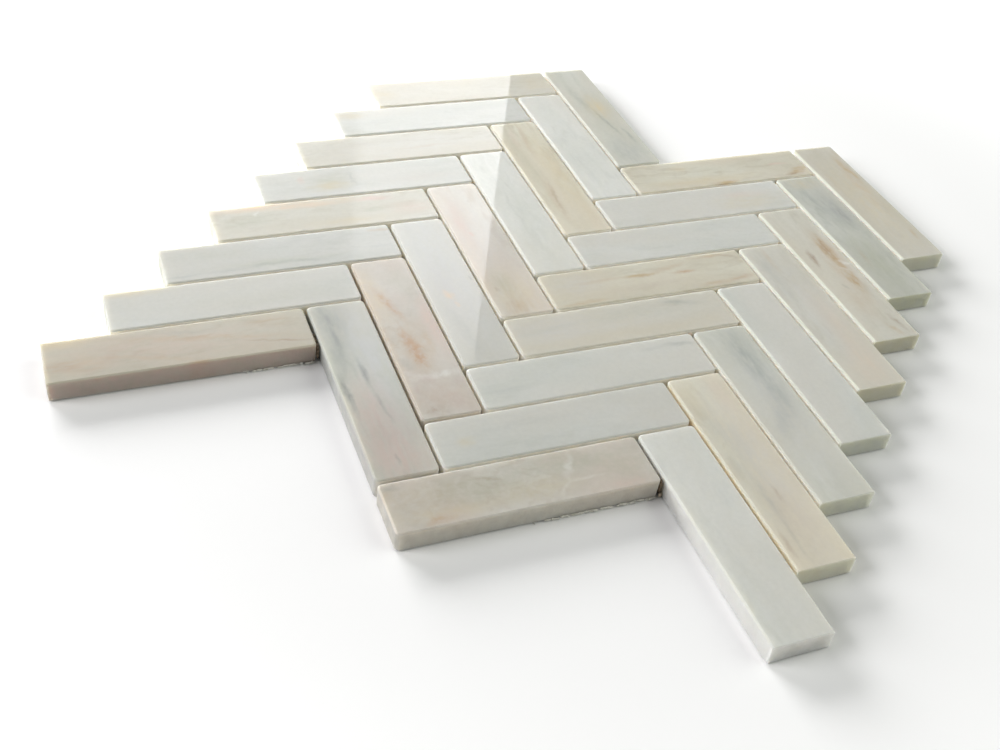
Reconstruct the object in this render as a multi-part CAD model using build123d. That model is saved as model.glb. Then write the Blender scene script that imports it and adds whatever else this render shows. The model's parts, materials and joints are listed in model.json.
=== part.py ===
from build123d import *
import os

# Herringbone mosaic sheet: marble strips in two columns of V shapes, glued to a fibreglass mesh.
# Crosswise strips lie along X and lengthwise strips along Y, all lengths in millimetres.
# The origin is the middle of the sheet's bounding box, on the underside of the mesh.

# Marble strips
strip_length = 106.1
strip_width = 25.4
strip_thickness = 8.8

# Laying pattern
joint_width = 1.5
row_count = 8
column_names = ["left", "right"]
column_count = len(column_names)

# Edges of a strip
polished_arris = 0.6
end_corner_radius = 2.0
sawn_arris = 0.3

# Mesh backing with its film of glue
backing_thickness = 0.5
backing_inset = 2.0

# One row steps forward and back by a strip's width, one column by its length
row_pitch = strip_width + joint_width
column_pitch = strip_length + joint_width

# Outline of the whole sheet, measured from the near left corner of row 1's crosswise strip
left_edge = 0
right_edge = (row_count - 1) * row_pitch + column_count * column_pitch + strip_width
far_edge = (row_count - 1) * row_pitch + strip_width
near_edge = strip_width - strip_length - (column_count - 1) * column_pitch
middle_x = (left_edge + right_edge) / 2
middle_y = (near_edge + far_edge) / 2


def make_strip(left_end_sawn):
    """A strip along +X from the origin, its underside at Z = 0, with its top edges eased.

    A factory end also has round upright corners. A sawn end keeps them square and has only a
    small arris round its top edge, where the strip was cut to length after polishing.
    """
    strip = Box(strip_length, strip_width, strip_thickness, align=(Align.MIN, Align.MIN, Align.MIN))
    uprights = strip.edges().filter_by(Axis.Z)
    if left_end_sawn:
        uprights = uprights.group_by(Axis.X)[-1]
    strip = fillet(uprights, end_corner_radius)
    top_edges = strip.faces().sort_by(Axis.Z)[-1].edges()
    if left_end_sawn:
        top_edges = top_edges - top_edges.group_by(Axis.X)[0]
    strip = chamfer(top_edges, polished_arris)
    if left_end_sawn:
        end_face = strip.faces().sort_by(Axis.X)[0]
        end_edges = end_face.edges().filter_by(lambda edge: edge.center().Z > strip_thickness / 2)
        end_edges = end_edges - end_face.edges().filter_by(Axis.Z)
        strip = chamfer(end_edges, sawn_arris)
    return strip


def crosswise_place(row, column):
    """Near left corner of a strip that lies along X."""
    x = row * row_pitch + column * column_pitch
    y = row * row_pitch - column * column_pitch
    return Location((x - middle_x, y - middle_y, backing_thickness))


def lengthwise_place(row, column):
    """Near right corner of a strip that lies along Y, turned so that its left end points nearer."""
    x = row * row_pitch + (column + 1) * column_pitch + strip_width
    y = row * row_pitch - column * column_pitch + strip_width - strip_length
    return Location((x - middle_x, y - middle_y, backing_thickness), (0, 0, 90))


def make_backing():
    """The mesh: it follows the V edges just inside the strips, and is cut straight along the steps."""
    left_diagonal = -joint_width - backing_inset
    right_diagonal = near_edge - column_count * column_pitch + row_pitch - strip_width + backing_inset
    outline = [(backing_inset - left_diagonal, backing_inset)]
    for column in range(column_count):
        x = (column + 1) * column_pitch + backing_inset
        outline.append((x, backing_inset - column * column_pitch))
        if column < column_count - 1:
            outline.append((x, backing_inset - (column + 1) * column_pitch))
    outline.append((x, x + right_diagonal))
    x = right_edge - backing_inset
    outline.append((x, x + right_diagonal))
    for column in reversed(range(column_count)):
        y = far_edge - column * column_pitch - backing_inset
        outline.append((x, y))
        if column > 0:
            x = x - column_pitch
            outline.append((x, y))
    outline.append((y - left_diagonal, y))
    placed = [(x - middle_x, y - middle_y) for x, y in outline]
    return extrude(make_face(Polyline(*placed, close=True)), backing_thickness)


def write_part(node, shape):
    """One file per node; the file's name is the node's name."""
    shape.label = node
    export_step(shape, "parts/" + node + ".step")


os.makedirs("parts", exist_ok=True)
factory_strip = make_strip(left_end_sawn=False)
outer_strip = make_strip(left_end_sawn=True)
for column, column_name in enumerate(column_names):
    for row in range(row_count):
        crosswise = outer_strip if column == 0 else factory_strip
        lengthwise = outer_strip if column == column_count - 1 else factory_strip
        row_name = column_name + "_" + str(row + 1)
        write_part("crosswise_strip_" + row_name, crosswise_place(row, column) * crosswise)
        write_part("lengthwise_strip_" + row_name, lengthwise_place(row, column) * lengthwise)
write_part("mesh_backing", make_backing())
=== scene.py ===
import json
import math
import random

import bpy
from mathutils import Matrix, Vector


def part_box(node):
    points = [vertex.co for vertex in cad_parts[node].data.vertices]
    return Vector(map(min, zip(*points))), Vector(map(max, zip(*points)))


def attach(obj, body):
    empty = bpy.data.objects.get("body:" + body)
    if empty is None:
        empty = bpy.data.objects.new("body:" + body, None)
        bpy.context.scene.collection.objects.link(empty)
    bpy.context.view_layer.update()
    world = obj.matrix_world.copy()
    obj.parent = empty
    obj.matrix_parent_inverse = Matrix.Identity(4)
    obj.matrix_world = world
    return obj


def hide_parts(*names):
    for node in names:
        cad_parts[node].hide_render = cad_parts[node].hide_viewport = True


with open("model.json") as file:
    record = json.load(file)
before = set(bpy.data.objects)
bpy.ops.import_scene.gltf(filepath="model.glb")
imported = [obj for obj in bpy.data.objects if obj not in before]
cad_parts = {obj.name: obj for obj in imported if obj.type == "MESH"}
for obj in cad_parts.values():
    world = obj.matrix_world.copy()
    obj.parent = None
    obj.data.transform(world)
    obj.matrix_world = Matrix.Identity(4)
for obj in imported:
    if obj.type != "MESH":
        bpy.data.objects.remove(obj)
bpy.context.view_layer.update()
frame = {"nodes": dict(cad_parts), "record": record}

MM = 0.001


def linear(hex_colour):
    """sRGB hex to linear RGBA."""
    parts = [int(hex_colour[i:i + 2], 16) / 255 for i in (1, 3, 5)]
    return [c / 12.92 if c <= 0.04045 else ((c + 0.055) / 1.055) ** 2.4 for c in parts] + [1]


def add_node(tree, kind, settings=None, links=None):
    """Adds a node; settings are its properties or, by socket name or number, its input values."""
    node = tree.nodes.new(kind)
    for name, value in (settings or {}).items():
        if isinstance(name, str) and hasattr(node, name):
            setattr(node, name, value)
        else:
            node.inputs[name].default_value = value
    for name, source in (links or {}).items():
        tree.links.new(source, node.inputs[name])
    return node


def new_group(name, inputs, outputs):
    """An empty node group with its sockets, and its input and output nodes."""
    group = bpy.data.node_groups.new(name, "ShaderNodeTree")
    for label, kind in inputs:
        group.interface.new_socket(label, in_out="INPUT", socket_type=kind)
    for label, kind in outputs:
        group.interface.new_socket(label, in_out="OUTPUT", socket_type=kind)
    return group, group.nodes.new("NodeGroupInput"), group.nodes.new("NodeGroupOutput")


def new_material(name):
    """A named material with an empty node tree."""
    material = bpy.data.materials.new(name)
    material.use_nodes = True
    material.node_tree.nodes.clear()
    return material, material.node_tree


# Marble

# Half of a strip's length and width, and the arris along its polished top, in millimetres
STRIP_HALF = {"X": 53.05, "Y": 12.7}
ARRIS = 0.6

# The polished face and the honed arris
POLISHED_ROUGHNESS = 0.025
HONED_ROUGHNESS = 0.45

# Noise in the stone, in steps per millimetre
BLUSH_SCALE = 0.035
CLOUD_SCALE = 0.06
STREAK_SCALE = 0.26
GRAIN_SCALE = 0.5
OPEN_FACE_PATCH_SCALE = 0.22

# Noise that makes marks wander, and leaves their rims ragged and their insides uneven
WANDER_SCALE = 0.03
RAGGED_SCALE = 0.25
FRAY_SCALE = 0.35

# A mark goes right through the stone: half its depth, in millimetres
THROUGH = 1000

# Pale ground, cloudy body, feathery streaks and slow blush of each tone that the sheet is mixed from
TONES = {
    "white": ("#CBCCC6", "#C4C6BF", "#BABCB5", "#C9C7BE"),
    "cream": ("#CAC9BF", "#C1BFB2", "#B1AC9C", "#C7C2B3"),
    "beige": ("#CBC9BA", "#C2BEAD", "#AFA691", "#C8BFAC"),
    "rose": ("#CBC8BF", "#C1BDB3", "#B3A799", "#C8BCB0"),
    "grey": ("#C4C6BD", "#B9BBB1", "#A6A99F", "#C0BDB1"),
}

# Strips that are paler or darker than the rest of their tone, as times their colour: partly each
# stone's own lightness, partly painted light, with the near left strips darker and the far left ones
# under the sheen brighter
STRIP_SHADES_AND_PAINTED_LIGHT = {
    "crosswise_strip_left_1": 0.80,
    "crosswise_strip_left_2": 0.92,
    "crosswise_strip_left_3": 0.88,
    "crosswise_strip_left_5": 0.96,
    "lengthwise_strip_left_1": 0.94,
    "lengthwise_strip_left_2": 0.90,
    "lengthwise_strip_left_3": 0.95,
    "lengthwise_strip_left_4": 1.09,
    "lengthwise_strip_left_5": 1.12,
    "lengthwise_strip_left_6": 1.08,
    "lengthwise_strip_left_7": 1.10,
    "lengthwise_strip_left_8": 1.04,
    "crosswise_strip_right_1": 0.95,
    "crosswise_strip_right_2": 0.95,
    "lengthwise_strip_right_1": 1.07,
    "lengthwise_strip_right_2": 1.10,
    "lengthwise_strip_right_3": 1.06,
    "lengthwise_strip_right_7": 0.93,
    "lengthwise_strip_right_8": 0.92,
}

# Clouds and streaks are drawn out along a strip, and lie in blotches on a few
STRETCH = 0.3
BLOTCH_STRETCH = 0.8
BLOTCHED = ("crosswise_strip_right_1", "lengthwise_strip_left_2")

# Left rims that differ from the face: a painted highlight on the pale ones, painted shade on the grey
# ones, and a stain on the brown one; colour, its share, and how far it runs onto the top, in mm
RIM_LIGHT_AND_STAINS = {
    "lengthwise_strip_left_1": ("#8F938E", 0.45, 0.0),
    "lengthwise_strip_left_2": ("#B9A48F", 0.2, 0.0),
    "lengthwise_strip_right_1": ("#B9BAAF", 0.3, 0.0),
    "lengthwise_strip_right_4": ("#CCCFC0", 0.6, 0.2),
    "lengthwise_strip_right_5": ("#CED1C2", 0.7, 0.5),
    "lengthwise_strip_right_6": ("#D2D5C6", 0.8, 0.8),
    "lengthwise_strip_right_7": ("#D2D5C6", 0.8, 0.8),
    "lengthwise_strip_right_8": ("#D2D5C6", 0.8, 0.9),
}

# Saw dust on open faces, together with painted light: paler sawn ends are a painted glow of light
# coming through the stone, the far left ends are painted whiter where light falls, and faces in shade
# are painted darker. Where it differs, by strip and by axis: Y its long side, X its end
OPEN_FACE_DUST_AND_GLOW = "#C8CAB6"
DUST_AND_PAINTED_LIGHT = {
    ("crosswise_strip_left_1", "Y"): "#C2AAA4",
    ("crosswise_strip_left_1", "X"): "#8A8078",
    ("crosswise_strip_left_4", "X"): "#E4E6D6",
    ("crosswise_strip_left_5", "X"): "#ECEEDE",
    ("crosswise_strip_left_6", "X"): "#F4F6E8",
    ("crosswise_strip_left_7", "X"): "#F8F9EE",
    ("crosswise_strip_left_8", "X"): "#F8F9EE",
    ("lengthwise_strip_left_1", "Y"): "#86878A",
    ("crosswise_strip_right_1", "Y"): "#DCD7CB",
    ("crosswise_strip_right_1", "X"): "#92928C",
    ("lengthwise_strip_right_1", "Y"): "#C2C0BE",
    ("lengthwise_strip_right_1", "X"): "#F0EEEC",
    ("lengthwise_strip_right_2", "X"): "#DCDECC",
    ("lengthwise_strip_right_3", "X"): "#DCDECC",
    ("lengthwise_strip_right_5", "X"): "#C2C0A6",
    ("lengthwise_strip_right_6", "X"): "#BEBA9E",
    ("lengthwise_strip_right_7", "X"): "#C6C6AA",
}

# Strips' walls in the joints, painted pale as a painted glow of light coming through the stone, how far
# this hides the stone, and where glue stains them
PAINTED_JOINT_GLOW = "#F3EFE4"
JOINT_SHARE = 0.9
JOINT_GLOW_AND_STAINS = {
    "lengthwise_strip_left_1": "#D8D4CC",
    "lengthwise_strip_left_2": "#E0D8CC",
    "lengthwise_strip_right_2": "#F0E4CC",
}

# Colours of single marks
SMOKE = "#989D9C"
SLATE = "#7C8280"
MOSS = "#A9AB97"
BROWN = "#8C6F55"
RUST = "#B28D69"
OCHRE = "#AD8D55"
TAN = "#B8A082"
SAND = "#CBBC95"
PEACH = "#D8C1A6"
PINK = "#D2B3A8"
MAUVE = "#AF9A96"
MILK = "#DCDDD8"
MIST = "#C5C7CA"

# Marks of each strip, seen in the photograph: colour, place along and across the strip from its
# middle, half length and half width, turn in degrees, and strength. Lengths in millimetres.
# Along a crosswise strip is to the right, along a lengthwise one is away.
MARKS = {
    "crosswise_strip_left_1": [
        (PINK, -6, 0, 58, 14, 0, 0.28),
        (TAN, -42, -3, 13, 7, 0, 0.45),
        (BROWN, -46, -4, 8, 3.5, 0, 0.2),
        (BROWN, -28, -2, 6, 3.5, 20, 0.15),
        (SAND, -46, 10, 13, 3.5, 0, 0.4),
        (TAN, 12, 2, 42, 2.2, -10, 0.35),
        (BROWN, 40, -6, 15, 0.9, -11, 0.4),
        (TAN, 36, 8, 14, 4, -6, 0.35),
        (SMOKE, 4, 7, 12, 1.4, -10, 0.3),
        (TAN, -14, -6, 20, 1.6, -14, 0.35),
        (RUST, 6, -12.2, 6, 1.5, 0, 0.6),
    ],
    "crosswise_strip_left_2": [
        (SAND, -40, 11, 18, 3.5, 0, 0.4),
        (MOSS, 10, -4, 40, 5, 0, 0.15),
    ],
    "crosswise_strip_left_3": [
        (SMOKE, -45, -9, 9, 1.0, 3, 0.35),
        (SMOKE, -25, -8, 11, 1.2, 4, 0.4),
        (SLATE, -9, -7.2, 11, 1.2, -3, 0.35),
        (SLATE, 8, -7.8, 12, 1.3, -5, 0.38),
        (MOSS, -4, -6.5, 30, 3, 0, 0.35),
        (TAN, 47, 9, 7, 1.2, -4, 0.6),
        (SMOKE, 43, -4, 7, 1.5, 0, 0.25),
        (MOSS, -35, 4, 18, 5, -3, 0.2),
    ],
    "crosswise_strip_left_4": [
        (PEACH, -18, 10, 38, 3.8, 0, 0.8),
        (PINK, 26, 8, 11, 2.6, -4, 0.55),
        (MOSS, -35, 0, 13, 6, 10, 0.5),
        (MOSS, 24, -1.5, 7, 2, 0, 0.55),
        (PINK, 42, -2, 12, 6, 0, 0.3),
        (SAND, 10, -8, 18, 3.5, 0, 0.35),
        (MILK, -32, 5, 2.5, 0.7, 70, 0.7),
        (SLATE, -13.5, -12, 2.2, 0.9, 0, 0.6),
    ],
    "crosswise_strip_left_5": [
        (MOSS, -19, 1, 14, 9, 0, 0.5),
        (SAND, -19, -4, 12, 5, 0, 0.55),
        (PINK, -32, 4, 1.8, 4, 0, 0.35),
        (SMOKE, -6, 1, 1.4, 8, 8, 0.3),
        (MAUVE, 30, -4, 22, 5, 0, 0.1),
    ],
    "crosswise_strip_left_6": [
        (MIST, 0, 0, 60, 14, 0, 0.25),
        (TAN, 12, -3, 14, 1.2, 2, 0.25),
    ],
    "crosswise_strip_left_7": [
        (MOSS, -45, -10, 8, 3, 0, 0.5),
        (SAND, -45, 7, 9, 4, 0, 0.4),
    ],
    "crosswise_strip_left_8": [
        (SAND, 44, 0, 13, 10, 0, 0.3),
        (SAND, -48, -1, 8, 6, 0, 0.4),
    ],
    "lengthwise_strip_left_1": [
        (SLATE, 45, 8, 10, 4.5, 0, 0.55),
        (SLATE, 33, 6.5, 15, 1.8, 0, 0.55),
        (SMOKE, 40, 2, 12, 3, 0, 0.4),
        (SMOKE, 30, 8, 26, 4, 0, 0.45),
        (SMOKE, 30, 0, 26, 12, 0, 0.3),
        (MIST, 14, -5, 46, 9, 0, 0.5),
        (PINK, -20, 3, 30, 10, 0, 0.38),
        (MAUVE, -34, 0, 28, 14, 0, 0.3),
        (PINK, -46, 0, 14, 14, 0, 0.3),
        (SLATE, 6, 0.5, 11, 1.3, 4, 0.6),
        (SLATE, -14, -2, 11, 1.1, 6, 0.4),
        (SLATE, -4, 9.8, 13, 1.6, 4, 0.75),
        (SLATE, -45, 1.5, 4, 0.7, 0, 0.4),
    ],
    "lengthwise_strip_left_2": [
        (SAND, 28, 9, 22, 5, 0, 0.4),
        (MOSS, 36, -5, 14, 7, 10, 0.25),
        (RUST, 20, 5, 13, 2.4, 14, 0.65),
        (TAN, -8, 3, 22, 9, 0, 0.5),
        (RUST, -4, 5, 8, 2.8, 8, 0.55),
        (RUST, -14, 3, 10, 3.2, 4, 0.85),
        (TAN, -6, -4, 9, 2.2, 0, 0.4),
        (PINK, 4, -9, 22, 3.5, 0, 0.4),
        (SMOKE, -19, 9, 5, 2.5, 20, 0.3),
        (MILK, -28, -2, 2.2, 12, 4, 0.55),
        (MILK, -26, 8, 1.2, 5, -25, 0.4),
        (MAUVE, -34, -9, 3.5, 2.5, 20, 0.5),
        (MAUVE, -36, 9, 4, 1.5, 0, 0.35),
        (MAUVE, -44, -4, 5, 3.5, 30, 0.35),
        (MAUVE, -30, 3, 3, 4, 0, 0.3),
        (MAUVE, -42, 2, 12, 10, 0, 0.22),
        (TAN, -42, 0, 12, 12, 0, 0.25),
        (BROWN, -48, 6, 2, 2.5, 30, 0.3),
        (TAN, 0, 12.5, 54, 2.2, 0, 0.3),
    ],
    "lengthwise_strip_left_3": [
        (MIST, 10, 0, 54, 14, 0, 0.45),
        (MAUVE, 0, 3, 24, 8, 0, 0.1),
        (PEACH, -7, 2.8, 3.4, 2.2, 20, 0.8),
        (PEACH, -13, 1.5, 1.8, 1.2, 0, 0.6),
        (SMOKE, -30, 5, 18, 3, 8, 0.2),
        (SLATE, 4, -10.5, 2, 0.8, 0, 0.35),
    ],
    "lengthwise_strip_left_4": [
        (MIST, 10, 0, 50, 14, 0, 0.3),
        (PINK, 20, 6, 20, 3.5, 0, 0.35),
        (PINK, 9.6, 3.7, 1.8, 1.2, 0, 0.7),
        (SAND, -38, 0, 22, 13, 0, 0.4),
        (MOSS, -30, 3, 10, 5, 10, 0.3),
        (BROWN, -34, 7, 2.2, 1.0, 20, 0.35),
        (TAN, -47, 2, 6, 7, 0, 0.4),
    ],
    "lengthwise_strip_left_5": [
        (MOSS, -36, 0, 20, 12, 0, 0.15),
    ],
    "lengthwise_strip_left_6": [
        (SAND, 0, -6, 50, 7, 0, 0.4),
        (MOSS, 10, 7, 44, 5, 0, 0.25),
        (BROWN, -21, 3.5, 15, 1.2, -5, 0.42),
        (TAN, -22, 4.5, 19, 3, -3, 0.35),
        (TAN, 35, -1, 18, 2, -2, 0.35),
        (PINK, 36, 5, 10, 2.5, 0, 0.3),
    ],
    "lengthwise_strip_left_8": [
        (MOSS, -10, 0, 46, 13, 0, 0.2),
        (SAND, 9, -3, 14, 7, 0, 0.7),
        (SLATE, 20, 4, 16, 3, 4, 0.3),
        (SLATE, -8, -1, 14, 1.4, 6, 0.5),
        (SLATE, -24, -7, 8, 1.4, 2, 0.45),
        (SMOKE, -40, 2, 16, 10, 0, 0.4),
    ],
    "crosswise_strip_right_1": [
        (MOSS, 0, 2, 60, 14, 0, 0.35),
        (TAN, -36, 1, 20, 10, 0, 0.3),
        (SAND, -30, -7, 22, 4, 0, 0.3),
        (RUST, -36, -9.5, 6, 2.2, 6, 0.5),
        (SLATE, -48, 9, 5, 1.6, 0, 0.3),
        (BROWN, -13, 5.5, 7, 1.3, -22, 0.35),
        (MOSS, -20, 2, 16, 7, 0, 0.3),
        (MOSS, 22, 6, 20, 5, 0, 0.35),
        (SAND, 4, -4, 18, 6, 0, 0.3),
        (MOSS, 44, 0, 12, 9, 0, 0.25),
        (PINK, 38, -9, 8, 2.5, 0, 0.25),
        (MILK, 20.4, 3.3, 8.5, 1.8, 67, 0.5),
        (MILK, 24.7, -3.4, 7.5, 1.0, 6, 0.35),
        (MILK, 14.3, -7.4, 4.5, 1.2, 49, 0.3),
    ],
    "crosswise_strip_right_2": [
        (SAND, -40, -1, 5, 3, 0, 0.35),
        (SMOKE, -10, 3, 22, 2, 3, 0.15),
    ],
    "crosswise_strip_right_3": [
        (SLATE, 44, 6.8, 9, 1.6, -5, 0.35),
        (SLATE, 32, 6.5, 7, 1.2, 0, 0.2),
        (SMOKE, -40, -4, 14, 1.8, 4, 0.2),
    ],
    "crosswise_strip_right_4": [
        (SLATE, 30, 8.5, 8, 1.6, -8, 0.35),
        (SMOKE, 36, 6, 8, 2, -12, 0.25),
        (MIST, 0, 0, 60, 14, 0, 0.2),
        (SAND, 0, -8.5, 50, 4.5, 0, 0.2),
        (MOSS, -36, 2, 16, 2, 4, 0.3),
        (MOSS, 5, 5, 30, 5, 0, 0.2),
        (MIST, -36, 2, 20, 10, 0, 0.35),
    ],
    "crosswise_strip_right_5": [
        (MIST, -38, 3, 16, 9, 0, 0.35),
        (OCHRE, -3, 3.6, 10, 1.6, 2, 0.6),
        (TAN, 11, 6.4, 10, 1.7, 12, 0.5),
        (RUST, 18.5, 1.7, 7, 1.5, -4, 0.65),
        (TAN, 37, 10, 10, 1.6, -4, 0.5),
        (BROWN, 47, 8, 6, 1.1, -20, 0.3),
        (TAN, 32, -10.5, 12, 1.8, 3, 0.55),
        (RUST, 45, -9, 7, 1.4, 6, 0.45),
        (TAN, -25, 3.5, 14, 1.6, 2, 0.35),
        (OCHRE, -38, -10.7, 14, 1.5, 0, 0.45),
        (MAUVE, -6, -5, 24, 2.4, 2, 0.2),
    ],
    "crosswise_strip_right_7": [
        (SAND, 30, -3, 22, 9, 0, 0.35),
        (PINK, 30, 4, 16, 3, 0, 0.2),
    ],
    "crosswise_strip_right_8": [
        (OCHRE, -1, -10.5, 7, 1.9, 3, 0.85),
        (BROWN, -4, -12, 4, 1.0, 0, 0.5),
        (OCHRE, 46, -7.5, 7.5, 3.2, 28, 0.8),
        (BROWN, 41, -11, 4.5, 1.3, 10, 0.5),
        (PINK, 36, 0.6, 7, 1.2, 0, 0.5),
        (SAND, -14, -7, 34, 4, 0, 0.4),
        (SAND, -22, 6, 7, 2.5, 0, 0.35),
        (MOSS, 10, 3, 30, 5, 0, 0.15),
    ],
    "lengthwise_strip_right_2": [
        (MIST, 0, 0, 60, 14, 0, 0.4),
        (MOSS, 8, 5, 46, 9, 0, 0.2),
        (SAND, 40, 6, 12, 5, 0, 0.25),
        (PINK, 40, -7, 14, 4, 0, 0.12),
        (BROWN, -17, -0.2, 5, 1.0, 0, 0.4),
        (SMOKE, -20, 5, 14, 2.2, 0, 0.3),
        (SLATE, -40, 5, 9, 1.1, 0, 0.25),
        (BROWN, -42, 9.5, 8, 1.2, 0, 0.3),
        (TAN, -30, 0, 22, 9, 0, 0.2),
    ],
    "lengthwise_strip_right_3": [
        (MIST, 0, 0, 60, 14, 0, 0.3),
        (SLATE, 34, -2, 18, 7, 0, 0.42),
        (SMOKE, 12, -4, 26, 7, 0, 0.4),
        (SLATE, 10, -5, 16, 3, 4, 0.2),
        (SMOKE, -9, 2, 12, 4.5, -20, 0.35),
        (MILK, -38, 5, 16, 6, 0, 0.3),
    ],
    "lengthwise_strip_right_5": [
        (MIST, 0, 0, 60, 14, 0, 0.35),
        (SMOKE, 28, 6, 22, 4, 0, 0.25),
        (TAN, 41, 1, 10, 1.5, 0, 0.35),
        (SMOKE, -4, -1, 16, 3.5, 0, 0.15),
        (PEACH, -14, -3, 30, 7, 0, 0.3),
        (PEACH, -40, 1, 14, 8, 0, 0.3),
    ],
    "lengthwise_strip_right_6": [
        (TAN, 6, -5.5, 28, 5.5, 0, 0.6),
        (OCHRE, 14, -5.8, 15, 3.0, 0, 0.8),
        (BROWN, 17, -5.5, 9, 1.8, 0, 0.5),
        (OCHRE, -9, -6, 10, 2.6, -3, 0.75),
        (BROWN, 9.5, 5, 7, 1.9, -3, 0.95),
        (MILK, 3, -10, 1.1, 4.5, -40, 0.6),
        (MILK, -2, -6.5, 0.9, 4, -35, 0.4),
        (SLATE, -13, 0.8, 2.5, 1.1, 25, 0.35),
        (TAN, -25, 0, 16, 7, 0, 0.3),
        (BROWN, -43, -7, 6, 1.3, 8, 0.6),
        (OCHRE, -47, -2, 5, 1.7, 20, 0.5),
    ],
    "lengthwise_strip_right_7": [
        (SMOKE, 20, -3, 17, 9, 0, 0.55),
        (SLATE, 14, -6, 14, 3.5, 0, 0.3),
        (SLATE, 36, 4, 8, 2.5, 0, 0.3),
        (SAND, 47, 0, 6, 11, 0, 0.4),
        (MOSS, -26, 0, 32, 13, 0, 0.6),
        (TAN, -20, 5, 8, 1.6, 0, 0.25),
    ],
    "lengthwise_strip_right_8": [
        (OCHRE, 28, -7.5, 16, 2.6, 2, 0.65),
        (TAN, 12, -5, 24, 3.5, 0, 0.4),
        (TAN, 20, 8, 22, 1.8, 0, 0.2),
        (OCHRE, 44, -10, 6, 1.4, 0, 0.3),
        (SAND, -5, 0, 52, 12, 0, 0.4),
        (OCHRE, -34, -7, 5, 1.4, 0, 0.35),
    ],
}


def make_mark_group():
    """A long soft mark on the stone: an ellipse that fades to its rim and is frayed by noise."""
    group, start, end = new_group(
        "stone_mark",
        [("Place", "NodeSocketVector"), ("Fray", "NodeSocketFloat"),
         ("Middle", "NodeSocketVector"), ("Turn", "NodeSocketVector"),
         ("Half size", "NodeSocketVector"), ("Strength", "NodeSocketFloat")],
        [("Mask", "NodeSocketFloat")])
    local = add_node(group, "ShaderNodeMapping", {"vector_type": "TEXTURE"},
                     {"Vector": start.outputs["Place"], "Location": start.outputs["Middle"],
                      "Rotation": start.outputs["Turn"], "Scale": start.outputs["Half size"]})
    reach = add_node(group, "ShaderNodeVectorMath", {"operation": "LENGTH"}, {0: local.outputs[0]})
    fade = add_node(group, "ShaderNodeMapRange",
                    {"interpolation_type": "SMOOTHSTEP", "From Max": 1.4, "To Min": 1.0, "To Max": 0.0},
                    {"Value": reach.outputs["Value"]})
    frayed = add_node(group, "ShaderNodeMath", {"operation": "MULTIPLY"},
                      {0: fade.outputs[0], 1: start.outputs["Fray"]})
    mask = add_node(group, "ShaderNodeMath", {"operation": "MULTIPLY"},
                    {0: frayed.outputs[0], 1: start.outputs["Strength"]})
    group.links.new(mask.outputs[0], end.inputs["Mask"])
    return group


def veined_ground(tree, layers, tone):
    """The stone between its marks: clouds and a slow blush, and feathery streaks in a few places."""
    pale, body, streak, blush = (linear(colour) for colour in TONES[tone])
    clouds = add_node(tree, "ShaderNodeTexNoise",
                      {"Scale": CLOUD_SCALE, "Detail": 3.0, "Roughness": 0.5, "Distortion": 0.5},
                      {"Vector": layers})
    cloud_range = add_node(tree, "ShaderNodeMapRange", {"From Min": 0.35, "From Max": 0.65},
                           {"Value": clouds.outputs[0]})
    ground = add_node(tree, "ShaderNodeMix", {"data_type": "RGBA", 6: pale, 7: body},
                      {0: cloud_range.outputs[0]})
    blushes = add_node(tree, "ShaderNodeTexNoise",
                       {"noise_dimensions": "4D", "Scale": BLUSH_SCALE, "Detail": 2.0, "W": 3.7},
                       {"Vector": layers})
    blush_range = add_node(tree, "ShaderNodeMapRange",
                           {"From Min": 0.42, "From Max": 0.62, "To Max": 0.6},
                           {"Value": blushes.outputs[0]})
    tinted = add_node(tree, "ShaderNodeMix", {"data_type": "RGBA", 7: blush},
                      {0: blush_range.outputs[0], 6: ground.outputs[2]})
    streaks = add_node(tree, "ShaderNodeTexNoise",
                       {"Scale": STREAK_SCALE, "Detail": 3.0, "Roughness": 0.5, "Distortion": 0.6},
                       {"Vector": layers})
    streak_range = add_node(tree, "ShaderNodeMapRange",
                            {"From Min": 0.48, "From Max": 0.75, "To Max": 0.6},
                            {"Value": streaks.outputs[0]})
    # Streaks gather where there is no blush
    gathered = add_node(tree, "ShaderNodeMapRange",
                        {"From Min": 0.55, "From Max": 0.38, "To Min": 0.1, "To Max": 0.9},
                        {"Value": blushes.outputs[0]})
    amount = add_node(tree, "ShaderNodeMath", {"operation": "MULTIPLY"},
                      {0: streak_range.outputs[0], 1: gathered.outputs[0]})
    streaked = add_node(tree, "ShaderNodeMix", {"data_type": "RGBA", 7: streak},
                        {0: amount.outputs[0], 6: tinted.outputs[2]})
    return streaked.outputs[2]


def bend_place(tree, place, seed):
    """Moves the place by smooth and fine noise, so that marks wander and fray; in millimetres."""
    shifted = add_node(tree, "ShaderNodeVectorMath",
                       {"operation": "ADD", 1: (seed * 37.0, seed * 11.0, 0)}, {0: place})
    total = place
    for scale, detail, reach in ((WANDER_SCALE, 1.0, (6, 5, 0)), (RAGGED_SCALE, 3.0, (6, 2.2, 0))):
        noise = add_node(tree, "ShaderNodeTexNoise", {"Scale": scale, "Detail": detail},
                         {"Vector": shifted.outputs[0]})
        middle = add_node(tree, "ShaderNodeVectorMath", {"operation": "SUBTRACT", 1: (0.5, 0.5, 0.5)},
                          {0: noise.outputs["Color"]})
        step = add_node(tree, "ShaderNodeVectorMath", {"operation": "MULTIPLY_ADD", 1: reach},
                        {0: middle.outputs[0], 2: total})
        total = step.outputs[0]
    return total


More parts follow.
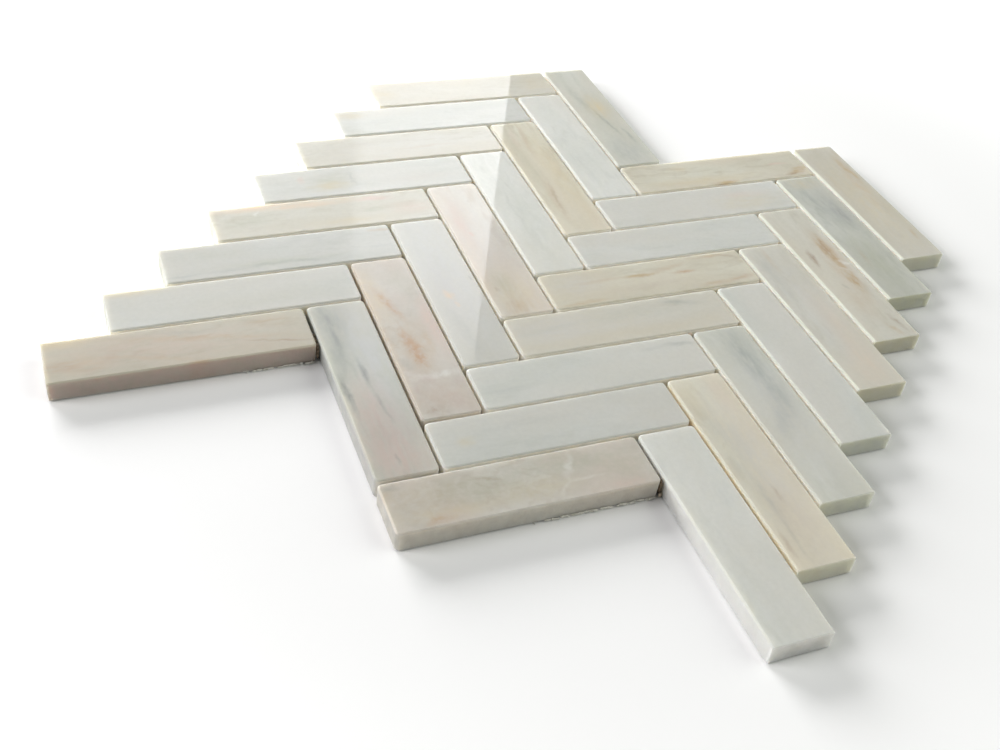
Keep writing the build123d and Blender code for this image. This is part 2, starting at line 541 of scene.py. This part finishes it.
def lay_marks(tree, stone, place, layers, marks, seed):
    """Lays a strip's own marks over its ground, the first one lowest."""
    if not marks:
        return stone
    bent = bend_place(tree, place, seed)
    fray = add_node(tree, "ShaderNodeTexNoise", {"Scale": FRAY_SCALE, "Detail": 3.0, "Roughness": 0.6},
                    {"Vector": layers})
    fray_range = add_node(tree, "ShaderNodeMapRange",
                          {"From Min": 0.32, "From Max": 0.6, "To Min": 0.35, "To Max": 0.9},
                          {"Value": fray.outputs[0]})
    for colour, along, across, half_length, half_width, turn, strength in marks:
        mask = add_node(tree, "ShaderNodeGroup",
                        {"node_tree": STONE_MARK, "Middle": (along, across, 0),
                         "Turn": (0, 0, math.radians(turn)),
                         "Half size": (half_length, half_width, THROUGH), "Strength": strength},
                        {"Place": bent, "Fray": fray_range.outputs[0]})
        marked = add_node(tree, "ShaderNodeMix", {"data_type": "RGBA", 7: linear(colour)},
                          {0: mask.outputs[0], 6: stone})
        stone = marked.outputs[2]
    return stone


def paint_sides_and_light(tree, stone, place, spot, side, node):
    """Sides: painted pale in a joint, as a painted glow where light comes through both rims, and dusty
    where they are open, with painted glow on sawn ends and painted shade on shaded faces.
    """
    # Walls in joints are painted pale: a painted glow of light coming through the rims
    in_joint = add_node(tree, "ShaderNodeMath", {"operation": "MULTIPLY", 1: JOINT_SHARE}, {0: side})
    joint_colour = linear(JOINT_GLOW_AND_STAINS.get(node, PAINTED_JOINT_GLOW))
    jointed = add_node(tree, "ShaderNodeMix", {"data_type": "RGBA", 7: joint_colour},
                       {0: in_joint.outputs[0], 6: stone})
    finish = jointed.outputs[2]
    patches = add_node(tree, "ShaderNodeTexNoise",
                       {"Scale": OPEN_FACE_PATCH_SCALE, "Detail": 3.0, "Roughness": 0.65}, {"Vector": place})
    patch_range = add_node(tree, "ShaderNodeMapRange",
                           {"From Min": 0.35, "From Max": 0.65, "To Min": 0.3, "To Max": 0.6},
                           {"Value": patches.outputs[0]})
    for axis, sign in faces_in_the_open(node):
        edge = STRIP_HALF[axis]
        # Dust colour with painted light in it: glow on sawn ends, shade on shaded faces
        dust_and_light = linear(DUST_AND_PAINTED_LIGHT.get((node, axis), OPEN_FACE_DUST_AND_GLOW))
        dusted_and_lit = add_node(tree, "ShaderNodeMix", {"data_type": "RGBA", 7: dust_and_light},
                         {0: patch_range.outputs[0], 6: stone})
        reach = add_node(tree, "ShaderNodeMath", {"operation": "MULTIPLY", 1: sign},
                         {0: spot.outputs[axis]})
        on_face = add_node(tree, "ShaderNodeMapRange", {"From Min": edge - 1.4, "From Max": edge - 0.3},
                           {"Value": reach.outputs[0]})
        share = add_node(tree, "ShaderNodeMath", {"operation": "MULTIPLY"},
                         {0: side, 1: on_face.outputs[0]})
        opened = add_node(tree, "ShaderNodeMix", {"data_type": "RGBA"},
                          {0: share.outputs[0], 6: finish, 7: dusted_and_lit.outputs[2]})
        finish = opened.outputs[2]
    return finish


def paint_rim_light_and_stain(tree, finish, spot, side, rim):
    """The arris is only honed, and along a strip's left it takes a painted highlight or painted shade,
    or a stain.
    """
    colour, share, run = rim
    start = STRIP_HALF["Y"] - ARRIS - run
    band = add_node(tree, "ShaderNodeMapRange",
                    {"From Min": start, "From Max": start + 0.3, "To Max": share},
                    {"Value": spot.outputs["Y"]})
    above = add_node(tree, "ShaderNodeMath", {"operation": "SUBTRACT", 0: 1.0}, {1: side})
    amount = add_node(tree, "ShaderNodeMath", {"operation": "MULTIPLY"},
                      {0: band.outputs[0], 1: above.outputs[0]})
    # Painted highlight or painted shade on the rim, or its stain
    rimmed = add_node(tree, "ShaderNodeMix", {"data_type": "RGBA", 7: linear(colour)},
                      {0: amount.outputs[0], 6: finish})
    return rimmed.outputs[2]


def polished_marble(node, tone, middle, angle, seed):
    """Marble, sawn into strips, bevelled and polished on top: a glassy face over a cloudy body."""
    material, tree = new_material("polished_marble_" + node)
    chance = random.Random(seed)
    # The strip's lightness, partly its own and partly painted light
    shade = STRIP_SHADES_AND_PAINTED_LIGHT.get(node, 1.0)
    where = add_node(tree, "ShaderNodeTexCoord")
    place = add_node(tree, "ShaderNodeMapping",
                     {"vector_type": "TEXTURE", "Location": middle, "Rotation": (0, 0, angle),
                      "Scale": (MM, MM, MM)},
                     {"Vector": where.outputs["Object"]})
    # Each strip takes its clouds and streaks from another place in the noise
    along = BLOTCH_STRETCH if node in BLOTCHED else STRETCH
    layers = add_node(tree, "ShaderNodeMapping",
                      {"Location": (seed * 61.0, seed * 17.0, seed * 5.0), "Scale": (along, 1.0, 0.6),
                       "Rotation": (0, 0, math.radians(chance.uniform(-14, 14)))},
                      {"Vector": place.outputs[0]})
    grain = add_node(tree, "ShaderNodeTexNoise",
                     {"Scale": GRAIN_SCALE, "Detail": 2.0, "Roughness": 0.6},
                     {"Vector": place.outputs[0]})
    grain_range = add_node(tree, "ShaderNodeMapRange",
                           {"From Min": 0.3, "From Max": 0.7,
                            "To Min": 0.98 * shade, "To Max": 1.02 * shade},
                           {"Value": grain.outputs[0]})
    grained = add_node(tree, "ShaderNodeVectorMath", {"operation": "SCALE"},
                       {0: veined_ground(tree, layers.outputs[0], tone),
                        "Scale": grain_range.outputs[0]})
    stone = lay_marks(tree, grained.outputs[0], place.outputs[0], layers.outputs[0],
                      MARKS.get(node), seed)

    surface = add_node(tree, "ShaderNodeNewGeometry")
    facing = add_node(tree, "ShaderNodeSeparateXYZ", {}, {0: surface.outputs["Normal"]})
    slope = add_node(tree, "ShaderNodeMath", {"operation": "ABSOLUTE"}, {0: facing.outputs["Z"]})
    side = add_node(tree, "ShaderNodeMapRange", {"From Min": 0.6, "From Max": 0.3},
                    {"Value": slope.outputs[0]})
    spot = add_node(tree, "ShaderNodeSeparateXYZ", {}, {0: place.outputs[0]})
    finish = paint_sides_and_light(tree, stone, place.outputs[0], spot, side.outputs[0], node)
    if node in RIM_LIGHT_AND_STAINS:
        finish = paint_rim_light_and_stain(tree, finish, spot, side.outputs[0], RIM_LIGHT_AND_STAINS[node])
    # Saw and grit marks roughen the sides
    grit = add_node(tree, "ShaderNodeBump", {"Distance": 0.15 * MM},
                    {"Strength": side.outputs[0], "Height": grain.outputs[0]})
    gloss = add_node(tree, "ShaderNodeMapRange",
                     {"From Min": 0.75, "From Max": 0.95,
                      "To Min": HONED_ROUGHNESS, "To Max": POLISHED_ROUGHNESS},
                     {"Value": facing.outputs["Z"]})
    shader = add_node(tree, "ShaderNodeBsdfPrincipled",
                      {"IOR": 1.5, "Subsurface Weight": 1.0,
                       "Subsurface Radius": (1.0, 0.95, 0.85), "Subsurface Scale": 6 * MM},
                      {"Base Color": finish, "Roughness": gloss.outputs[0],
                       "Normal": grit.outputs[0]})
    add_node(tree, "ShaderNodeOutputMaterial", {}, {0: shader.outputs[0]})
    return material


def faces_in_the_open(node):
    """The faces of a strip that no neighbour hides, as axis along or across the strip, and sign."""
    way, _, column, row = node.split("_")
    crosswise = way == "crosswise"
    faces = []
    if row == "1":
        faces.append(("Y", -1 if crosswise else 1))
    if row == "8":
        faces.append(("Y", 1 if crosswise else -1))
    if crosswise == (column == "left") or (crosswise and row == "1"):
        faces.append(("X", -1))
    if not crosswise and row == "8":
        faces.append(("X", 1))
    return faces


def dress_strips():
    """Gives each strip its own marble, in the tone that its slot names."""
    slots = {part["node"]: part["material_slot"] for part in frame["record"]["subparts"]}
    for number, (node, piece) in enumerate(sorted(frame["nodes"].items())):
        if node == "mesh_backing":
            continue
        low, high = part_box(node)
        angle = 0 if node.startswith("crosswise") else math.pi / 2
        tone = slots[node].replace("_marble", "")
        marble = polished_marble(node, tone, (low + high) / 2, angle, number + 1)
        piece.data.materials.clear()
        piece.data.materials.append(marble)


STONE_MARK = make_mark_group()
dress_strips()


# Mesh backing

THREAD_PITCH = 4.5 * MM
THREAD_WIDTH = 1.1 * MM
THREAD_THICKNESS = 0.2 * MM
WEAVE_MIDDLE = 0.23 * MM
WEAVE_RISE = 0.11 * MM

# How far a thread's end stands back from the cut or past it
END_REACH = (-1.2 * MM, 1.6 * MM)


def new_piece(name, verts, faces, material):
    """A mesh piece of the sheet, riding with it."""
    mesh = bpy.data.meshes.new(name)
    mesh.from_pydata(verts, [], faces)
    mesh.materials.append(material)
    for face in mesh.polygons:
        face.use_smooth = True
    piece = bpy.data.objects.new(name, mesh)
    bpy.context.scene.collection.objects.link(piece)
    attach(piece, "root")
    return piece


def add_tube(verts, faces, rings):
    """Joins rings of points into one closed tube."""
    start = len(verts)
    count = len(rings[0])
    for ring in rings:
        verts.extend(ring)
    for step in range(len(rings) - 1):
        for side in range(count):
            a = start + step * count + side
            b = start + step * count + (side + 1) % count
            faces.append((a, b, b + count, a + count))
    faces.append(tuple(start + side for side in reversed(range(count))))
    faces.append(tuple(start + (len(rings) - 1) * count + side for side in range(count)))


def woven_thread():
    """Fibreglass yarn, woven flat and set in resin: off-white, with a faint shine on its strands."""
    material, tree = new_material("woven_fibreglass_thread")
    where = add_node(tree, "ShaderNodeTexCoord")
    # Strands are a few hundredths of a millimetre, drawn 0.4 mm apart so that they show
    strands = add_node(tree, "ShaderNodeTexNoise", {"Scale": 2.6 / MM, "Detail": 2.0},
                       {"Vector": where.outputs["Object"]})
    shade = add_node(tree, "ShaderNodeMix",
                     {"data_type": "RGBA", 6: linear("#D9D7CD"), 7: linear("#F0EFE9")},
                     {0: strands.outputs[0]})
    fibre_bump = add_node(tree, "ShaderNodeBump", {"Strength": 0.3, "Distance": 0.1 * MM},
                          {"Height": strands.outputs[0]})
    shader = add_node(tree, "ShaderNodeBsdfPrincipled", {"Roughness": 0.45, "IOR": 1.5},
                      {"Base Color": shade.outputs[2], "Normal": fibre_bump.outputs[0]})
    add_node(tree, "ShaderNodeOutputMaterial", {}, {0: shader.outputs[0]})
    return material


def backing_outline():
    """The corners of the mesh's cut edge in order, from the underside of its solid."""
    mesh = frame["nodes"]["mesh_backing"].data
    uses = {}
    for face in mesh.polygons:
        if face.normal.z < -0.9:
            for key in face.edge_keys:
                uses[key] = uses.get(key, 0) + 1
    follows = {}
    for (a, b), count in uses.items():
        if count == 1:
            follows.setdefault(a, []).append(b)
            follows.setdefault(b, []).append(a)
    loop = [next(iter(follows))]
    last = None
    while len(loop) == 1 or loop[-1] != loop[0]:
        onward = [corner for corner in follows[loop[-1]] if corner != last]
        last = loop[-1]
        loop.append(onward[0])
    return [mesh.vertices[index].co.to_2d() for index in loop[:-1]]


def inside_stretches(outline, origin, direction):
    """Where a straight line runs inside the outline, as pairs of distances from its origin."""
    parallel = 1e-9
    cuts = []
    for a, b in zip(outline, outline[1:] + outline[:1]):
        edge = b - a
        turn = direction.x * edge.y - direction.y * edge.x
        if abs(turn) < parallel:
            continue
        gap = a - origin
        along_edge = (gap.x * direction.y - gap.y * direction.x) / turn
        if 0 <= along_edge < 1:
            cuts.append((gap.x * edge.y - gap.y * edge.x) / turn)
    cuts.sort()
    return zip(cuts[::2], cuts[1::2])


def thread_rings(origin, direction, start, end, row, lean):
    """Cross-sections of a flat thread at and between its crossings, where it goes over or under."""
    sideways = Vector((-direction.y, direction.x))
    half = sideways * THREAD_WIDTH / 2
    marks = [start]
    step = math.floor(start / (THREAD_PITCH / 2)) + 1
    while step * THREAD_PITCH / 2 < end:
        marks.append(step * THREAD_PITCH / 2)
        step += 1
    marks.append(end)
    rings = []
    for mark in marks:
        crossing = mark / THREAD_PITCH
        over = lean * math.cos(math.pi * (crossing - row * lean))
        height = WEAVE_MIDDLE + WEAVE_RISE * over
        low, high = height - THREAD_THICKNESS / 2, height + THREAD_THICKNESS / 2
        middle = origin + direction * mark
        left, right = middle + half, middle - half
        rings.append([(left.x, left.y, low), (right.x, right.y, low),
                      (right.x, right.y, high), (left.x, left.y, high)])
    return rings


def weave_backing(glass):
    """Open fibreglass net: flat threads at 45 degrees to the strips, with unevenly cut ends."""
    chance = random.Random(45)
    outline = backing_outline()
    verts, faces = [], []
    for lean in (1, -1):
        direction = Vector((1, lean)).normalized()
        sideways = Vector((-direction.y, direction.x))
        offsets = [point.dot(sideways) for point in outline]
        first = math.ceil(min(offsets) / THREAD_PITCH)
        last = math.floor(max(offsets) / THREAD_PITCH)
        for row in range(first, last + 1):
            origin = sideways * row * THREAD_PITCH
            for start, end in inside_stretches(outline, origin, direction):
                start -= chance.uniform(*END_REACH)
                end += chance.uniform(*END_REACH)
                add_tube(verts, faces, thread_rings(origin, direction, start, end, row, lean))
    net = new_piece("fibreglass_net", verts, faces, glass)
    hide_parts("mesh_backing")


# Glue and loose threads, in millimetres up to where a point is added to a mesh

HALF_JOINT = 0.75

# Where crumbs and thread ends show: strip, from and to as parts of its length, and how many
CRUMBS = (("crosswise_strip_left_1", 0.72, 0.99, 14), ("crosswise_strip_right_1", 0.55, 0.99, 26))
THREAD_ENDS = (("crosswise_strip_left_1", 0.7, 0.98, 6), ("crosswise_strip_right_1", 0.5, 0.98, 10))


def dried_glue(name, dark, light):
    """Tile adhesive, squeezed out and dried: dull, lumpy, and patchy where it took up dirt."""
    material, tree = new_material(name)
    where = add_node(tree, "ShaderNodeTexCoord")
    # Lumps and patches of about 1 mm
    patches = add_node(tree, "ShaderNodeTexNoise", {"Scale": 0.9 / MM, "Detail": 3.0},
                       {"Vector": where.outputs["Object"]})
    patch_range = add_node(tree, "ShaderNodeMapRange", {"From Min": 0.35, "From Max": 0.65},
                           {"Value": patches.outputs[0]})
    shade = add_node(tree, "ShaderNodeMix",
                     {"data_type": "RGBA", 6: linear(dark), 7: linear(light)},
                     {0: patch_range.outputs[0]})
    lumps = add_node(tree, "ShaderNodeBump", {"Strength": 0.6, "Distance": 0.2 * MM},
                     {"Height": patches.outputs[0]})
    shader = add_node(tree, "ShaderNodeBsdfPrincipled", {"Roughness": 0.6, "IOR": 1.45},
                      {"Base Color": shade.outputs[2], "Normal": lumps.outputs[0]})
    add_node(tree, "ShaderNodeOutputMaterial", {}, {0: shader.outputs[0]})
    return material


def box_in_mm(node):
    """A node's lowest and highest corners, in millimetres."""
    return [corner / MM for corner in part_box(node)]


def add_bead(verts, faces, middle, half, chance):
    """A lumpy bead of glue with the half sizes given."""
    levels, sides = 8, 14
    rings = []
    for level in range(levels):
        lift = (2 * level + 1) / levels - 1
        width = math.sqrt(1 - abs(lift) ** 3)
        ring = []
        for side in range(sides):
            turn = 2 * math.pi * side / sides
            reach = width * chance.uniform(0.8, 1.0)
            ring.append((MM * (middle[0] + half[0] * reach * math.cos(turn)),
                         MM * (middle[1] + half[1] * reach * math.sin(turn)),
                         MM * (middle[2] + half[2] * lift)))
        rings.append(ring)
    add_tube(verts, faces, rings)


def glue_in_joints():
    """Stained glue stands in the joints at the two near corners, and a dab of it farther back."""
    chance = random.Random(5)
    brown = dried_glue("brown_stained_adhesive", "#5A4C3B", "#A3917A")
    tan = dried_glue("tan_stained_adhesive", "#AB937A", "#DBCCB8")
    verts, faces = [], []
    low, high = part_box("crosswise_strip_left_1")
    for back in (2.0, 5.2, 8.6):
        spot = (high.x / MM + HALF_JOINT, low.y / MM + back, 4.1)
        add_bead(verts, faces, spot, (0.72, 1.9, 3.8), chance)
    low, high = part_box("crosswise_strip_right_1")
    for back in (1.7, 4.6):
        spot = (high.x / MM + HALF_JOINT, low.y / MM + back, 4.4)
        add_bead(verts, faces, spot, (0.72, 1.6, 3.7), chance)
    new_piece("brown_glue_in_joint", verts, faces, brown)
    verts, faces = [], []
    spot = (high.x / MM + 0.7, low.y / MM - 0.1, 1.3)
    add_bead(verts, faces, spot, (0.7, 0.8, 1.0), chance)
    low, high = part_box("crosswise_strip_right_3")
    spot = (high.x / MM + 0.9, high.y / MM + 0.6, 7.6)
    add_bead(verts, faces, spot, (1.2, 0.9, 0.8), chance)
    new_piece("tan_glue_in_joint", verts, faces, tan)


def near_edge_places(node, start, end, count, chance):
    """Places at uneven steps along a strip's near edge, each as x and y."""
    low, high = box_in_mm(node)
    for number in range(count):
        part = start + (end - start) * (number + chance.uniform(0, 1)) / count
        yield low.x + (high.x - low.x) * part, low.y


def glue_under_strips():
    """White glue holds the net: flat dabs under each strip, and crumbs along the two near edges."""
    chance = random.Random(9)
    white = dried_glue("white_dried_adhesive", "#D6D4C8", "#F2F0E8")
    verts, faces = [], []
    for node in sorted(frame["nodes"]):
        if node == "mesh_backing":
            continue
        low, high = box_in_mm(node)
        width, depth = high.x - low.x, high.y - low.y
        crosswise = width > depth
        for part in (0.1, 0.3, 0.5, 0.7, 0.9):
            x = low.x + width * (part if crosswise else 0.5) + chance.uniform(-2, 2)
            y = low.y + depth * (0.5 if crosswise else part) + chance.uniform(-2, 2)
            half = (chance.uniform(3, 6), chance.uniform(3, 6), 0.1)
            add_bead(verts, faces, (x, y, 0.4), half, chance)
    new_piece("glue_dabs", verts, faces, white)
    verts, faces = [], []
    for stretch in CRUMBS:
        for x, edge in near_edge_places(*stretch, chance):
            spot = (x, edge - chance.uniform(0.1, 0.6), chance.uniform(0.45, 0.8))
            half = (chance.uniform(0.5, 2.0), chance.uniform(0.3, 0.7), chance.uniform(0.2, 0.42))
            add_bead(verts, faces, spot, half, chance)
    new_piece("glue_crumbs", verts, faces, white)


def loose_thread_ends(glass):
    """Cut ends of the net that stick out from under the two near strips."""
    chance = random.Random(12)
    hidden, height = 2.0, 0.22
    half_width, half_thickness = 0.16, 0.1
    sections = 6
    verts, faces = [], []
    for stretch in THREAD_ENDS:
        for x, edge in near_edge_places(*stretch, chance):
            lean = chance.uniform(-0.8, 0.8)
            reach = chance.uniform(0.5, 1.4)
            rise = chance.uniform(0.0, 0.5)
            rings = []
            for section in range(sections):
                along = section / (sections - 1)
                middle = x + lean * along ** 2
                left, right = MM * (middle - half_width), MM * (middle + half_width)
                y = MM * (edge + hidden - (hidden + reach) * along)
                z = height + rise * along ** 3
                low, high = MM * (z - half_thickness), MM * (z + half_thickness)
                rings.append([(left, y, low), (right, y, low), (right, y, high), (left, y, high)])
            add_tube(verts, faces, rings)
    new_piece("loose_thread_ends", verts, faces, glass)


thread = woven_thread()
weave_backing(thread)
glue_in_joints()
glue_under_strips()
loose_thread_ends(thread)


# Floor, light and camera

SHEET_MIDDLE = (0, 0, 0)
FLOOR_HALF = 6.0

# The camera stands this far from its target, at this heading from straight ahead and this height
CAMERA_TARGET = Vector((-0.0403, -0.0482, 0.0093))
CAMERA_DISTANCE = 0.489
CAMERA_HEADING = math.radians(26.40)
CAMERA_HEIGHT = math.radians(40.66)
CAMERA_ROLL = math.radians(8.63)

# The screen stands this far beyond the camera, and the tops mirror its right edge at this heading
SCREEN_AWAY = 1.9
SCREEN_EDGE_HEADING = math.radians(24.6)
SCREEN_LEFT = -0.93
SCREEN_BOTTOM, SCREEN_TOP = 0.25, 1.75


def stage_sheet(name, corners, material):
    """A flat four-cornered stage piece."""
    mesh = bpy.data.meshes.new(name)
    mesh.from_pydata(corners, [], [(0, 1, 2, 3)])
    mesh.materials.append(material)
    sheet = bpy.data.objects.new(name, mesh)
    bpy.context.scene.collection.objects.link(sheet)
    return sheet


def make_floor():
    """A white table, which shows white to the camera wherever the sheet doesn't shade it."""
    material, tree = new_material("matt_white_board")
    paint = add_node(tree, "ShaderNodeBsdfDiffuse", {"Color": linear("#F8F8F7")})
    where = add_node(tree, "ShaderNodeTexCoord")
    # The soft boxes light its middle, and farther out a glow makes up for what they miss
    best_lit = (0.05, 0.06, 0)
    reach = add_node(tree, "ShaderNodeVectorMath", {"operation": "DISTANCE", 1: best_lit},
                     {0: where.outputs["Object"]})
    around = add_node(tree, "ShaderNodeMapRange",
                      {"interpolation_type": "SMOOTHSTEP", "From Min": 0.22, "From Max": 0.6,
                       "To Max": 0.6},
                      {"Value": reach.outputs["Value"]})
    horizon = add_node(tree, "ShaderNodeMapRange",
                       {"interpolation_type": "SMOOTHSTEP", "From Min": 0.6, "From Max": 2.5,
                        "To Max": 0.4},
                       {"Value": reach.outputs["Value"]})
    outward = add_node(tree, "ShaderNodeMath", {"operation": "ADD"},
                       {0: around.outputs[0], 1: horizon.outputs[0]})
    rays = add_node(tree, "ShaderNodeLightPath")
    seen = add_node(tree, "ShaderNodeMath", {"operation": "MAXIMUM"},
                    {0: rays.outputs["Is Camera Ray"], 1: rays.outputs["Is Glossy Ray"]})
    lift = add_node(tree, "ShaderNodeMath", {"operation": "MULTIPLY"},
                    {0: seen.outputs[0], 1: outward.outputs[0]})
    glow = add_node(tree, "ShaderNodeEmission", {}, {"Strength": lift.outputs[0]})
    both = add_node(tree, "ShaderNodeAddShader", {}, {0: paint.outputs[0], 1: glow.outputs[0]})
    add_node(tree, "ShaderNodeOutputMaterial", {}, {0: both.outputs[0]})
    corners = [(x * FLOOR_HALF, y * FLOOR_HALF, 0) for x, y in ((-1, -1), (1, -1), (1, 1), (-1, 1))]
    stage_sheet("floor", corners, material)


def make_reflected_screen():
    """A tall white screen behind the table on the left, seen only as a sheen in the polished tops."""
    material, tree = new_material("lit_white_screen")
    where = add_node(tree, "ShaderNodeTexCoord")
    spot = add_node(tree, "ShaderNodeSeparateXYZ", {}, {0: where.outputs["Generated"]})
    # Brightest low down, and a little dimmer than its right border strip
    height = add_node(tree, "ShaderNodeMapRange",
                      {"interpolation_type": "SMOOTHSTEP", "From Min": 0.5, "From Max": 1.0,
                       "To Min": 3.6, "To Max": 1.0},
                      {"Value": spot.outputs["Z"]})
    side = add_node(tree, "ShaderNodeMapRange",
                    {"From Min": 0.805, "From Max": 0.82, "To Min": 0.7, "To Max": 1.0},
                    {"Value": spot.outputs["X"]})
    strength = add_node(tree, "ShaderNodeMath", {"operation": "MULTIPLY"},
                        {0: height.outputs[0], 1: side.outputs[0]})
    glow = add_node(tree, "ShaderNodeEmission", {}, {"Strength": strength.outputs[0]})
    add_node(tree, "ShaderNodeOutputMaterial", {}, {0: glow.outputs[0]})
    place = camera_place()
    back = place.y + SCREEN_AWAY
    right = place.x + SCREEN_AWAY * math.tan(SCREEN_EDGE_HEADING)
    corners = [(SCREEN_LEFT, back, SCREEN_BOTTOM), (right, back, SCREEN_BOTTOM),
               (right, back, SCREEN_TOP), (SCREEN_LEFT, back, SCREEN_TOP)]
    screen = stage_sheet("screen", corners, material)
    screen.visible_camera = False
    screen.visible_diffuse = False
    screen.visible_transmission = False
    screen.visible_shadow = False


def aim(thing, place, target, roll=0.0):
    """Puts a light or camera at place, looking at target."""
    direction = Vector(target) - Vector(place)
    turn = direction.to_track_quat("-Z", "Y").to_matrix() @ Matrix.Rotation(roll, 3, "Z")
    thing.matrix_world = Matrix.Translation(place) @ turn.to_4x4()


def area_light(name, place, width, height, power, colour):
    """A soft box aimed at the sheet, which its polished tops don't mirror."""
    light = bpy.data.lights.new(name, "AREA")
    light.shape = "RECTANGLE"
    light.size = width
    light.size_y = height
    light.energy = power
    light.color = colour
    lamp = bpy.data.objects.new(name, light)
    bpy.context.scene.collection.objects.link(lamp)
    aim(lamp, place, SHEET_MIDDLE)
    lamp.visible_glossy = False


def make_lights():
    """Three soft boxes, and a world that is white to the eye and in reflections, and dim as a light."""
    area_light("left_softbox", (-2.522, 0.445, 1.361), width=1.3, height=1.4, power=56,
               colour=(1.0, 0.99, 1.01))
    area_light("back_softbox", (-0.581, 1.596, 0.602), width=1.3, height=0.64, power=46,
               colour=(1.0, 0.99, 1.01))
    area_light("right_softbox", (1.693, -0.616, 1.262), width=2.2, height=2.0, power=30,
               colour=(0.97, 1.0, 0.94))
    mirrored_strength, light_strength = 0.8, 0.05
    world = bpy.data.worlds.new("studio")
    bpy.context.scene.world = world
    world.use_nodes = True
    tree = world.node_tree
    tree.nodes.clear()
    rays = add_node(tree, "ShaderNodeLightPath")
    seen = add_node(tree, "ShaderNodeMath", {"operation": "MAXIMUM"},
                    {0: rays.outputs["Is Camera Ray"], 1: rays.outputs["Is Transmission Ray"]})
    mirrored = add_node(tree, "ShaderNodeMath", {"operation": "MULTIPLY", 1: mirrored_strength},
                        {0: rays.outputs["Is Glossy Ray"]})
    shown = add_node(tree, "ShaderNodeMath", {"operation": "MAXIMUM"},
                     {0: seen.outputs[0], 1: mirrored.outputs[0]})
    strength = add_node(tree, "ShaderNodeMath", {"operation": "MAXIMUM", 1: light_strength},
                        {0: shown.outputs[0]})
    sky = add_node(tree, "ShaderNodeBackground", {"Color": linear("#FFFFFF")},
                   {"Strength": strength.outputs[0]})
    add_node(tree, "ShaderNodeOutputWorld", {}, {0: sky.outputs[0]})


def camera_place():
    """Where the camera stands."""
    level = math.cos(CAMERA_HEIGHT)
    back = Vector((-math.sin(CAMERA_HEADING) * level, -math.cos(CAMERA_HEADING) * level,
                   math.sin(CAMERA_HEIGHT)))
    return CAMERA_TARGET + back * CAMERA_DISTANCE


def make_camera():
    """The photograph's view, from the near left and about 41 degrees up, tipped a little sideways."""
    camera = bpy.data.objects.new("camera", bpy.data.cameras.new("camera"))
    bpy.context.scene.collection.objects.link(camera)
    camera.data.sensor_width = 36
    camera.data.lens = 42.65
    camera.data.clip_start = 0.01
    aim(camera, camera_place(), CAMERA_TARGET, roll=CAMERA_ROLL)
    bpy.context.scene.camera = camera


make_floor()
make_reflected_screen()
make_lights()
make_camera()

bpy.context.scene.view_settings.view_transform = "Standard"
